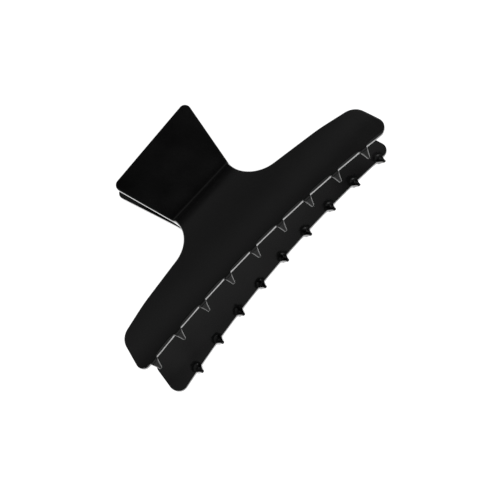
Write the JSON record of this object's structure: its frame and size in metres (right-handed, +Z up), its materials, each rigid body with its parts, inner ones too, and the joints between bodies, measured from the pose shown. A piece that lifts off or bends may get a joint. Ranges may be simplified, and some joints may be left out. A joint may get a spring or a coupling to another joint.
{
  "type": "sectioning clip",
  "caption": "Butterfly sectioning clip with two toothed curved jaws, squeeze tabs, a riveted hinge and a closing torsion spring, shown held open.",
  "frame": {"origin": "centre of the bounding box at the surface that the clip lies on", "axes": "+X along the hinge and the toothed edges, +Y from the toothed edges towards the finger tabs, +Z up, away from the surface the lower half lies on"},
  "size_m": [0.0842, 0.0498, 0.0326],
  "materials": {
    "black_plastic": "smooth semi-gloss black moulded ABS",
    "rivet_steel": "nickel-plated steel",
    "spring_steel": "bright zinc-plated spring wire"
  },
  "bodies": {
    "lower_half": {"lower_jaw": "black_plastic", "hinge_pin": "rivet_steel", "torsion_spring": "spring_steel"},
    "upper_half": {"upper_jaw": "black_plastic"}
  },
  "joints": [
    {"name": "jaw_hinge", "type": "hinge", "parent": "lower_half", "child": "upper_half", "pos_m": [0, -0.00044, 0.01166], "axis": [1, 0, 0], "range_deg": [-12, 66], "deforming": ["torsion_spring"]}
  ]
}
